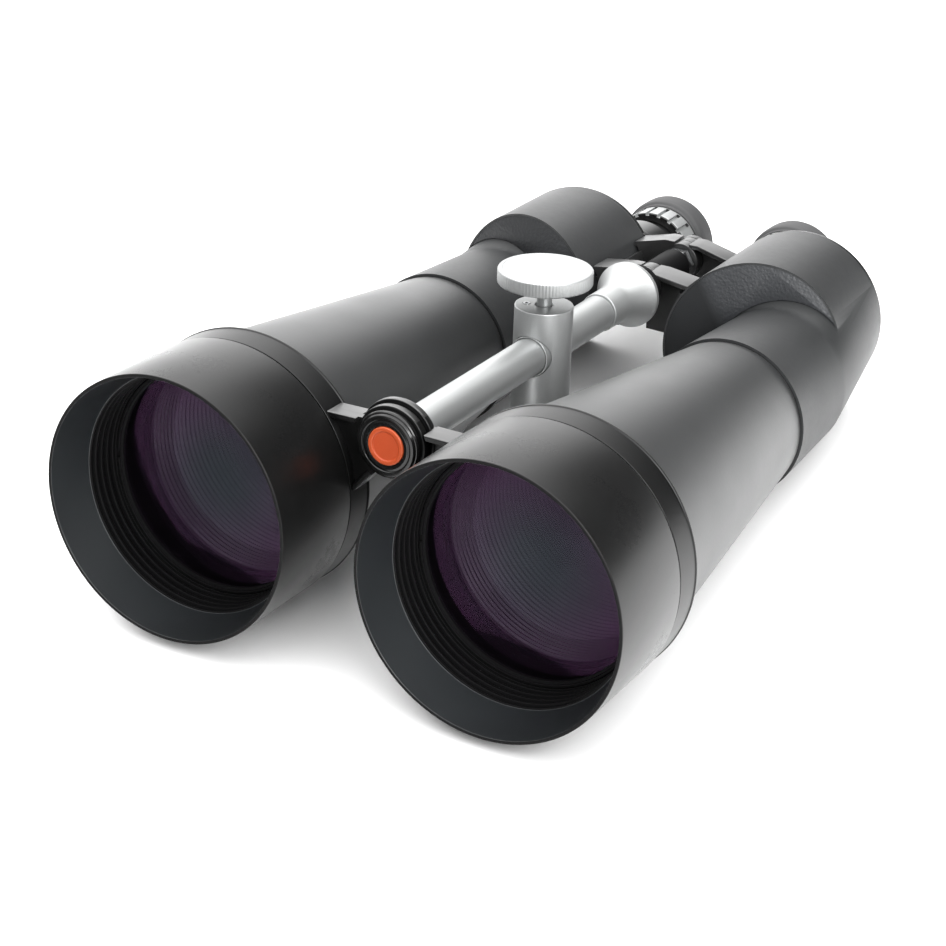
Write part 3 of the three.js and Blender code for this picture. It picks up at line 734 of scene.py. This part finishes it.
def beyond_flat(inset, start=240):
    """Everything beyond the flat on the drum's inner underside, or beyond one drawn in by an inset."""
    shift = inset * math.hypot(1, 1 / FLAT_SLOPE)
    left, right = -20, 120
    high, low = (FLAT_SLOPE * (x - FLAT_X - shift) for x in (left, right))
    return slab([(left, high), (left, low), (right, low)], start, DRUM_REAR + 10)


def round_fold(bm, reach):
    """Rounds the shallow fold between the two front faces: the one long edge there that is not level."""
    folds = []
    for edge in bm.edges:
        turn = math.degrees(edge.calc_face_angle(0)) if len(edge.link_faces) == 2 else 0
        rise = abs(edge.verts[0].co.z - edge.verts[1].co.z)
        if 3 < turn < 20 and edge.calc_length() > 8 and rise > 4:
            folds.append(edge)
    return bevelled(bm, folds, reach, 6)


def barrel_end(grow, start, end=DRUM_REAR):
    """The tapered end of the barrel, running over into the round drum."""
    def taper(y):
        return TAIL_RADIUS + (TAIL_END_RADIUS - TAIL_RADIUS) * (y - SEAM_Y) / (TAIL_END - SEAM_Y)

    def ring(y):
        share = max(0, (y - BLEND_Y) / (DRUM_REAR - BLEND_Y))
        centre = Vector(OBJECTIVE).lerp(Vector(DRUM), share)
        first = taper(min(y, BLEND_Y))
        radius = first + (DRUM_RADIUS - first) * share + grow
        return lambda a: (centre.x + radius * math.cos(a), y, centre.y + radius * math.sin(a))
    heights = [start, *(BLEND_Y + 6 * k for k in (-1.5, -0.75, -0.4, 0, 0.4, 0.75, 1.5)), end]
    return loft([ring(y) for y in heights])


def drum_slice(radius, near, far, edge=0.0):
    """The drum from a distance behind its folded front, back to a far Y."""
    whole = on_axis(rod_along(radius, 240, far, edge=edge), DRUM)
    return cut(whole, beyond_flat(DRUM_RADIUS - radius), *ahead_of_plate(near))


PAST_REAR = DRUM_REAR + 1
FOLD_ROUNDING = 4


def prism_housing():
    lip = 0.9
    seat = PLATE_THICKNESS + GAP
    ledge = 2.6
    blend = cut(barrel_end(0, SEAM_Y + 0.4), beyond_flat(0, BLEND_Y))
    outer = joined(blend, round_fold(drum_slice(DRUM_RADIUS, 0, DRUM_REAR, 0.7), FOLD_ROUNDING))
    recess = common(drum_slice(DRUM_RADIUS - lip, -6, DRUM_REAR), joined(*ahead_of_plate(seat)))
    recess = cut(recess, barrel_end(0, SEAM_Y, PAST_REAR))
    hollow_barrel = cut(barrel_end(-DRUM_WALL, SEAM_Y - 2, PAST_REAR), beyond_flat(DRUM_WALL, BLEND_Y))
    hollow_drum = drum_slice(DRUM_RADIUS - DRUM_WALL, seat + ledge, PAST_REAR)
    return cut(outer, recess, hollow_barrel, hollow_drum)


def front_plate():
    plate = round_fold(drum_slice(DRUM_RADIUS - 1.0, 0.1, DRUM_REAR), FOLD_ROUNDING)
    plate = common(plate, joined(*ahead_of_plate(PLATE_THICKNESS)))
    plate = cut(plate, barrel_end(GAP, SEAM_Y, PAST_REAR))
    return round_edges(plate, 0.2, 2, 50)


def rear_cover():
    start = DRUM_REAR + GAP
    end = start + 3.9
    lid = on_axis(lathe(rounded([
        (0, start), (41.6, start, 0.6), (41.6, end - 1.4, 0.6), (40.2, end, 0.8), (38.5, end, 0.3),
        (38.0, end - 0.35, 0.2), (0, end - 0.35),
    ])), DRUM)
    boss = on_axis(lathe(rounded([
        (0, start), (21.4, start), (21.4, end + 0.4, 1.0), (20, end + 2.2, 1.0), (20, 366, 0.9), (0, 366),
    ]), MEDIUM), EYEPIECE)
    hole = on_axis(rod_along(17, start - 5, 375, MEDIUM), EYEPIECE)
    return cut(joined(lid, boss), hole, beyond_flat(0.4, start - 5))


# ---- Rear bridge ----

# Each arm reaches from the hinge to the drum, with one half's knuckle ahead of the other's.
REAR_ARMS = (
    {
        "from": 287, "middle": 294.55, "to": 302.1,
        "top": 8.1, "knuckle": 8.6, "foot": (1.4, -23.2), "left_rise": 3.7,
    },
    {
        "from": 333.5, "middle": 339.65, "to": 345.7,
        "top": 9.9, "knuckle": 9.5, "foot": (12, -24), "left_rise": 0,
    },
)


def rear_bridge(side):
    seat_radius = DRUM_RADIUS + GAP
    saddle = arc(DRUM, seat_radius, 154, 188, 16) + arc(DRUM, DRUM_RADIUS + 3, 188, 154, 16)
    start = REAR_ARMS[0]["from"]
    end = REAR_ARMS[1]["to"]
    thickness = 2.4
    parts = [slab(saddle, start, end)]
    for arm in REAR_ARMS:
        ahead = (arm["from"], arm["middle"] - GAP / 2)
        behind = (arm["middle"] + GAP / 2, arm["to"])
        own, other = (ahead, behind) if side == "left" else (behind, ahead)
        rise = arm["left_rise"] if side == "left" else 0
        seat = arc(DRUM, DRUM_RADIUS + 1.2, 147, 188, 12)
        crest = HINGE_Z + arm["top"]
        under = crest - thickness
        foot = (arm["foot"][0], HINGE_Z + arm["foot"][1] + rise)
        web_outline = [(4, crest), (9, crest), *seat, foot, (min(4, foot[0]), HINGE_Z - 6)]
        seat_x, seat_z = seat[0]
        eave_outline = [
            (4, crest), (9, crest), (seat_x, seat_z), (seat_x, seat_z - thickness), (9, under), (4, under),
        ]
        web = slab(web_outline, own[0], own[1])
        eave = slab(eave_outline, arm["from"], arm["to"], 0.4, 3)
        room_radius = arm["knuckle"] + 0.4
        other_room = on_axis(rod_along(room_radius, other[0] - GAP, other[1] + GAP, MEDIUM), HINGE)
        shaped = cut(joined(web, eave), other_room)
        knuckle = on_axis(rod_along(arm["knuckle"], own[0], own[1], MEDIUM, 0.5), HINGE)
        parts.extend((shaped, knuckle))
    casting = joined(*parts)
    drum_room = on_axis(rod_along(seat_radius, start - 5, end + 5), DRUM)
    pin_bore = on_axis(rod_along(PIN_BORE, start - 5, end + 5, MEDIUM), HINGE)
    return cut(casting, drum_room, pin_bore)


# ---- Eyepiece ----

def eyepiece_guide():
    return tube(16.7, 15, 347, 381, 0.4)


def eyepiece_barrel():
    return lathe(rounded([
        (12.6, 356, 0.2), (14.7, 356, 0.3), (14.7, 388.4), (16.2, 388.4, 0.2), (16.2, 391, 0.4),
        (13.4, 391, 0.3), (12.6, 389.6), (12.6, 384), (11.2, 384, 0.2), (11.2, 364), (12.6, 364),
    ]), MEDIUM)


def bowed(start, bow, steps=12):
    """Points of an eyepiece lens's curved face, from the middle out, bowed by an amount at its edge."""
    return [(FIELD_RADIUS * i / steps, start + bow * (i / steps) ** 2) for i in range(steps + 1)]


def eye_lens():
    flat_y = 384.3
    middle_y = 389.7
    face = bowed(middle_y, -2.2)
    return lathe([(0, flat_y), (FIELD_RADIUS, flat_y)] + face[::-1], MEDIUM)


def field_lens():
    flat_y = 363
    return lathe(bowed(358, 2.4) + [(FIELD_RADIUS, flat_y), (0, flat_y)], MEDIUM)


def focus_ring():
    body = lathe(rounded([
        (10, 375), (20.9, 375, 0.3), (21.5, 375.8, 0.4), (21.5, 387.2, 0.4), (20.9, 388, 0.3), (10, 388),
    ]), 120)
    count = 20
    half_width = Vector((0, 1.0))
    slots = []
    for i in range(count):
        middle = Matrix.Rotation(math.tau * (i + 0.5) / count, 2)
        inner, outer = Vector((19.9, 0)), Vector((24, 0))
        corners = (inner - half_width, outer - half_width, outer + half_width, inner + half_width)
        slots.append(slab([middle @ corner for corner in corners], 374, 386.6))
    skirt = rod_along(17.1, 374, 386, MEDIUM)
    bore = rod_along(15.1, 374, 389, MEDIUM)
    return round_edges(cut(body, *slots, skirt, bore), 0.22, 2, 60)


def eyecup():
    return lathe(rounded([
        (16.6, 388.3, 0.2), (22, 388.3, 0.6), (22.2, 389.6, 0.4), (23.6, 390.6, 0.8), (24, 393, 1.0),
        (24, 401.4, 1.2), (22.4, 403, 1.1), (20.5, 403, 0.9), (19, 400, 1.0), (16.6, 393, 0.4),
    ], 5), MEDIUM)


# ---- Centre hinge and rod ----

def front_hinge_cap():
    return lathe(rounded([
        (0, 52.4), (8.8, 52.4), (8.8, 50.9, 0.2), (10.3, 50.8, 0.3), (11.3, 51.2, 0.2), (11.7, 50.8, 0.2),
        (13.3, 50.9, 0.4), (13.9, 51.9, 0.3), (14.4, 51.9, 0.2), (15, 52.5, 0.4), (15, 54.6, 0.3), (0, 54.6),
    ]), MEDIUM)


def hinge_cap_insert():
    return lathe(rounded([
        (0, 51.0), (6.2, 51.0, 0.4), (6.6, 50.5, 0.3), (8.2, 50.4, 0.4), (8.5, 50.8, 0.2), (8.5, 52.1),
        (0, 52.1),
    ]), MEDIUM)


def centre_rod():
    rod, neck, tip = 8.65, 6, 5.7
    return lathe(rounded([
        (0, 55), (tip, 55, 0.3), (tip, 66), (rod, 66, 0.5), (rod, 243, 0.5), (neck, 243), (neck, 260, 0.3),
        (0, 260),
    ]), MEDIUM)


def rod_flared_socket():
    sleeve, rim_radius = 9.4, 16.2
    flare_start, rim_start, end = 258, 273.5, 276
    bore = 6.3
    flare = []
    steps = 16
    for i in range(steps + 1):
        share = i / steps
        radius = sleeve + (rim_radius - sleeve) * share ** 1.7
        flare.append((radius, flare_start + (rim_start - flare_start) * share))
    outer = rounded([(bore, 243.5), (sleeve, 243.5, 0.5), (sleeve, flare_start)])[:-1]
    rim = rounded([flare[-1], (rim_radius, rim_start, 0.4), (rim_radius, end, 0.6), (PIN_BORE, end)])[1:]
    return lathe(outer + flare + rim + [(PIN_BORE, 261), (bore, 261)], MEDIUM)


def tension_nut():
    hexagon = slab(arc((0, 0), 8, 0, 300, 5), 326.8, 333)
    chamfered = lathe([
        (0, 326), (7.2, 326), (9.2, 328.0), (9.2, 331.8), (7.2, 333.8), (0, 333.8),
    ], MEDIUM)
    return cut(common(hexagon, chamfered), rod_along(PIN_BORE, 320, 340, MEDIUM))


def rear_hinge_cap():
    return lathe(rounded([
        (PIN_BORE, 346), (9.5, 346, 0.2), (9.5, 350, 0.8), (7.5, 351.6, 0.8), (0, 351.6), (0, 349.3),
        (PIN_BORE, 349.3),
    ]), MEDIUM)


# ---- Tripod post and clamp, drawn about Y with heights measured from the hinge axis ----

def stand_profile(profile, steps=MEDIUM):
    """A solid of revolution that stands along Z, from a [radius, height, rounding] profile."""
    return stand(lathe(rounded(profile), steps))


def tripod_post():
    top = 21.3
    column = stand_profile([(0, -54.9), (POST_RADIUS, -54.9, 0.8), (POST_RADIUS, top, 0.7), (0, top)])
    rod_hole = rod_along(9.9, -40, 40, MEDIUM)
    stud_hole = stand_profile([(0, 0), (3.8, 0), (3.8, 20.6, 0.1), (4.6, 21.5), (4.6, 27), (0, 27)])
    insert_hole = stand_profile([(0, -60), (6.3, -60), (6.3, -42.6), (0, -42.6)])
    screw_hole = moved(stand_profile([(0, 19.1), (1.9, 19.1), (1.9, 27), (0, 27)], SMALL), *SET_SCREW_AT)
    return cut(column, rod_hole, stud_hole, insert_hole, screw_hole)


def thread_insert():
    start, end, radius = -54.7, -42.9, 6
    root, thread_depth, half_pitch = 2.6, 0.55, 0.6
    thread = [(root + thread_depth * (i % 2), -54.4 + half_pitch * i) for i in range(19)]
    outside = [(radius, start, 0.2), (radius, end, 0.2), (root, end)]
    return stand_profile(outside + thread[::-1] + [(3.2, start)])


def set_screw():
    body = stand_profile([(0, 19.4), (1.6, 19.4), (1.6, 21.5, 0.25), (0, 21.5)], SMALL)
    socket = stand(lathe([(0, 20.2), (0.95, 20.2), (0.95, 23), (0, 23)], 6))
    return moved(cut(body, socket), *SET_SCREW_AT)


def rod_liner():
    whole = tube(9.6, 8.95, -13, 13, 0.15)
    half = 0.75
    slit = slab([(-half, -12), (half, -12), (half, -5), (-half, -5)], -20, 20)
    return cut(whole, slit)


def clamp_pad():
    return stand_profile([(0, 9.9), (3.4, 9.9, 0.2), (3.4, 13.3, 0.2), (0, 13.3)])


def clamp_stud():
    return stand_profile([(0, 13.6), (3.5, 13.6, 0.4), (3.5, 31.3), (0, 31.3)])


def clamp_knob():
    def flute_depth(radius):
        return KNOB_FLUTE_DEPTH if radius > KNOB_RADIUS - 0.3 else 0
    profile = rounded([
        (0, 31.6), (21.2, 31.6, 0.3), (KNOB_RADIUS, 32.2, 0.2), (KNOB_RADIUS, 38.0, 0.2), (21.2, 38.6, 0.3),
        (19.8, 38.6, 0.2), (19.4, 38.4, 0.3), (0, 38.4),
    ], 3)
    steps_per_flute = 6
    return stand(lathe(profile, KNOB_FLUTES * steps_per_flute, KNOB_FLUTES, flute_depth))


# ---- Placing everything ----

def mirrored(bm):
    """The left-hand copy of a piece drawn on the right."""
    bm.transform(Matrix.Scale(-1, 4, (1, 0, 0)))
    bmesh.ops.reverse_faces(bm, faces=bm.faces)
    return bm


# node, maker, axis, material, body
HALF_PIECES = (
    ("objective_hood", hood, OBJECTIVE, satin_black, "half"),
    ("lens_retaining_ring", retaining_ring, OBJECTIVE, baffle_black, "half"),
    ("crown_lens", crown, OBJECTIVE, coated_glass, "half"),
    ("flint_lens", flint, OBJECTIVE, inner_glass, "half"),
    ("lens_cell", lens_cell, OBJECTIVE, baffle_black, "half"),
    ("objective_tube", objective_tube, OBJECTIVE, grained_black, "half"),
    ("eyepiece_guide", eyepiece_guide, EYEPIECE, cast_black, "half"),
    ("eyepiece_barrel", eyepiece_barrel, EYEPIECE, cast_black, "ocular"),
    ("eye_lens", eye_lens, EYEPIECE, coated_glass, "ocular"),
    ("field_lens", field_lens, EYEPIECE, prism_glass, "ocular"),
    ("focus_ring", focus_ring, EYEPIECE, satin_silver, "focus_grip"),
    ("eyecup", eyecup, EYEPIECE, black_rubber, "focus_grip"),
)


def cast_pieces(side):
    """The pieces drawn in place, some of them not alike on both sides."""
    return (
        ("prism_housing", prism_housing(), DRUM, housing_black),
        ("front_cover_plate", front_plate(), DRUM, stippled_grey[side]),
        ("rear_cover", rear_cover(), DRUM, cast_black),
        ("front_bridge", front_bridge(side), OBJECTIVE, satin_black),
        ("rear_bridge", rear_bridge(side), DRUM, bridge_black),
    )


def inward(spot, facing):
    return facing.x * spot.x + facing.z * spot.z < 0


def off_axis(spot):
    return math.hypot(spot.x, spot.z)


# Faces of a piece that take another finish, some of them as a painted shade or highlight: (material, test on
# the face's place and facing).
FINISHES_AND_PAINTED_LIGHT = {
    "objective_hood": (
        (hood_inside, lambda spot, facing: inward(spot, facing) and spot.y < HOOD_STEP_Y),
        (baffle_black, lambda spot, facing: off_axis(spot) < BAFFLE_RADIUS and spot.y > HOOD_STEP_Y),
        (baffle_black, lambda spot, facing: spot.y < 0.6 and facing.y < -0.75),
    ),
    "objective_tube": ((ribbed_black, inward),),
    # painted shade: the focus ring's front faces lie in shadow and are painted black with cast_black
    "focus_ring": ((cast_black, lambda spot, facing: facing.y < -0.5),),
    # painted highlight: the front bridge's upward faces, lit from above, take the lighter and shinier
    # bridge_black
    "front_bridge": (
        (bridge_black, lambda spot, facing: facing.z > 0.7 and off_axis(spot) > HOOD_RADIUS + 0.5),
    ),
}


def place_half(side, sign, name, piece, axis, material, body):
    """Puts a piece drawn for the right half on its own side."""
    if side == "left":
        piece = mirrored(piece)
    home = (axis[0] * sign, axis[1])
    place(f"{side}_{name}", piece, material, f"{side}_{body}", home, finishes_and_painted_light=FINISHES_AND_PAINTED_LIGHT.get(name, ()))


for side, sign in (("left", -1), ("right", 1)):
    for name, make, axis, material, body in HALF_PIECES:
        place_half(side, sign, name, on_axis(make(), axis), axis, material, body)
    for name, piece, axis, material in cast_pieces(side):
        place_half(side, sign, name, piece, axis, material, "half")

CENTRE_PIECES = (
    ("front_hinge_cap", front_hinge_cap(), gloss_black),
    ("hinge_cap_insert", hinge_cap_insert(), orange_plastic),
    ("centre_rod", centre_rod(), satin_silver),
    ("rod_flared_socket", rod_flared_socket(), satin_silver),
    ("rear_hinge_collar", tube(12, PIN_BORE, 276.3, 286.7, 0.6), baffle_black),
    ("rear_hinge_spine", tube(8.6, PIN_BORE, 302.4, 326.5, 0.6), baffle_black),
    ("hinge_tension_nut", tension_nut(), spring_steel),
    ("rear_hinge_pin", rod_along(PIN_BORE - GAP, 262, 349, MEDIUM, 0.4), spring_steel),
    ("rear_hinge_cap", rear_hinge_cap(), cast_black),
)
for name, piece, material in CENTRE_PIECES:
    place(name, on_axis(piece, HINGE), material, "centre", HINGE)

POST_PIECES = (
    ("tripod_post", tripod_post(), satin_silver, "post"),
    ("tripod_thread_insert", thread_insert(), spring_steel, "post"),
    ("post_set_screw", set_screw(), spring_steel, "post"),
    ("rod_liner", rod_liner(), satin_silver, "liner"),
    ("clamp_pad", clamp_pad(), brass, "clamp_pad"),
    ("clamp_stud", clamp_stud(), satin_silver, "clamp_knob"),
    ("clamp_knob", clamp_knob(), satin_silver, "clamp_knob"),
)
for name, piece, material, body in POST_PIECES:
    place(name, moved(piece, 0, POST_Y, HINGE_Z), material, body, upright=True)

# The prisms, their shelf and straps are hidden inside: the CAD nodes stay, with rounded edges.
HIDDEN_EDGE = 0.3
HIDDEN_PIECES = (
    ("prism_shelf", cast_black), ("front_prism", prism_glass), ("rear_prism", prism_glass),
    ("front_prism_strap", spring_steel), ("rear_prism_strap", spring_steel),
)
for side in ("left", "right"):
    for name, material in HIDDEN_PIECES:
        node = frame["nodes"][f"{side}_{name}"]
        node.data.materials.clear()
        node.data.materials.append(material)
        bevel = node.modifiers.new("edges", "BEVEL")
        bevel.width = HIDDEN_EDGE * MM
        bevel.segments = 2
        bevel.limit_method = "ANGLE"


# ---- Floor, light and camera ----

def make_floor():
    bpy.ops.mesh.primitive_plane_add(size=14, location=(0, 0, 0))
    floor = bpy.context.object
    floor.name = "floor"
    paint = Paint("floor", Roughness=0.85, Specular_IOR_Level=0.2)
    shade = paint.blend(paint.noise(60, 2), (0.93, 0.93, 0.93), (0.95, 0.95, 0.95))
    paint.set("Base Color", shade)
    floor.data.materials.append(paint.material)


def softbox(name, place_at, aim, size, power):
    """A square lamp, in metres and watts, that the camera doesn't see."""
    data = bpy.data.lights.new(name, "AREA")
    data.shape = "SQUARE"
    data.size = size
    data.energy = power
    light = bpy.data.objects.new(name, data)
    bpy.context.scene.collection.objects.link(light)
    light.location = place_at
    light.rotation_mode = "QUATERNION"
    light.rotation_quaternion = (Vector(aim) - Vector(place_at)).to_track_quat("-Z", "Y")
    light.visible_camera = False


def studio(base, panels):
    """Light from all round: a dim room with soft panels.

    Each panel is a direction, the angles at which it starts and ends to fade, and its strength.
    """
    world = bpy.data.worlds.new("studio")
    world.use_nodes = True
    bpy.context.scene.world = world
    tree = world.node_tree
    heading = tree.nodes.new("ShaderNodeTexCoord").outputs["Generated"]
    total = None
    for direction, inner, outer, strength in panels:
        aim = tree.nodes.new("ShaderNodeVectorMath")
        aim.operation = "DOT_PRODUCT"
        aim.inputs[1].default_value = Vector(direction).normalized()
        tree.links.new(heading, aim.inputs[0])
        fade = tree.nodes.new("ShaderNodeMapRange")
        fade.interpolation_type = "SMOOTHSTEP"
        fade.inputs["From Min"].default_value = math.cos(math.radians(outer))
        fade.inputs["From Max"].default_value = math.cos(math.radians(inner))
        fade.inputs["To Max"].default_value = strength
        tree.links.new(aim.outputs["Value"], fade.inputs["Value"])
        add = tree.nodes.new("ShaderNodeMath")
        tree.links.new(fade.outputs["Result"], add.inputs[0])
        if total is None:
            add.inputs[1].default_value = base
        else:
            tree.links.new(total, add.inputs[1])
        total = add.outputs[0]
    backdrop = tree.nodes["Background"]
    backdrop.inputs["Color"].default_value = (1, 1, 1, 1)
    tree.links.new(total, backdrop.inputs["Strength"])


make_floor()
studio(0.08, (
    ((0, 0, 1), 38, 60, 2.3),  # overhead
    ((-0.8, 0.6, 0.25), 30, 55, 1.5),  # low, behind on the left
    ((-0.5, -0.8, 0.5), 20, 50, 0.3),  # faint, from the front on the left
))
softbox("right softbox", (0.95, -0.7, 0.62), (0.1, 0.0, 0.0), 0.8, 14)

CAMERA_AZIMUTH = math.radians(29.0)
CAMERA_ELEVATION = math.radians(23.95)
CAMERA_ROLL = math.radians(2.01)
CAMERA_DISTANCE = 997.3  # from the optical frame's zero, mm
CAMERA_SHIFT = (62.3, 33.5)  # across and up from the line through that zero, mm
CAMERA_SENSOR = 36
CAMERA_LENS = 94.54
camera_data = bpy.data.cameras.new("camera")
camera_data.sensor_width = CAMERA_SENSOR
camera_data.lens = CAMERA_LENS
camera_data.clip_start = 0.01
camera_data.clip_end = 100
camera = bpy.data.objects.new("camera", camera_data)
bpy.context.scene.collection.objects.link(camera)
bpy.context.scene.camera = camera
back = Vector((
    math.sin(CAMERA_AZIMUTH) * math.cos(CAMERA_ELEVATION),
    -math.cos(CAMERA_AZIMUTH) * math.cos(CAMERA_ELEVATION),
    math.sin(CAMERA_ELEVATION),
))
level = Vector((math.cos(CAMERA_AZIMUTH), math.sin(CAMERA_AZIMUTH), 0))
raised = back.cross(level)
view_right = level * math.cos(CAMERA_ROLL) + raised * math.sin(CAMERA_ROLL)
view_up = raised * math.cos(CAMERA_ROLL) - level * math.sin(CAMERA_ROLL)
spot = view_right * CAMERA_SHIFT[0] + view_up * CAMERA_SHIFT[1] + back * CAMERA_DISTANCE
turn = Matrix((view_right, view_up, back)).transposed().to_4x4()
camera.matrix_world = OPTICAL @ Matrix.Translation(spot * MM) @ turn

scene = bpy.context.scene
scene.view_settings.view_transform = "Standard"
scene.view_settings.look = "Medium High Contrast"
scene.cycles.max_bounces = 10
scene.cycles.transparent_max_bounces = 16
